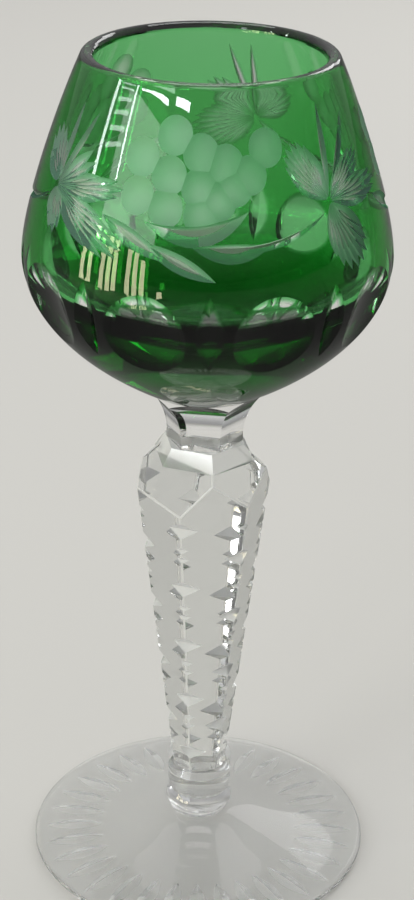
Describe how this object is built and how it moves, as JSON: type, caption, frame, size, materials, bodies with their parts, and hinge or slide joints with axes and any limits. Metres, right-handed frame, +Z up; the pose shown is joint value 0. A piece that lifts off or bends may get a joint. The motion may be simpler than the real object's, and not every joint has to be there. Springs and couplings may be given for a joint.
{
  "type": "hock wine glass",
  "caption": "Hock wine glass: green cased bowl cut to clear with vine, grape and lens cuts, on a clear faceted stem with notched edges and a round star-cut foot.",
  "frame": {"origin": "centre of the foot's flat underside, on the table", "axes": "+Z up along the stem's axis, -Y towards the side of the bowl that the picture shows"},
  "size_m": [0.076, 0.0758, 0.1849],
  "materials": {
    "green_casing": "polished emerald cased glass, cut through to clear",
    "clear_crystal": "clear cut crystal, facets polished, grape cuts left matt"
  },
  "bodies": {
    "root": {"bowl_casing": "green_casing", "bowl_liner": "clear_crystal", "stem": "clear_crystal", "foot_wafer": "clear_crystal", "foot": "clear_crystal"}
  },
  "joints": []
}
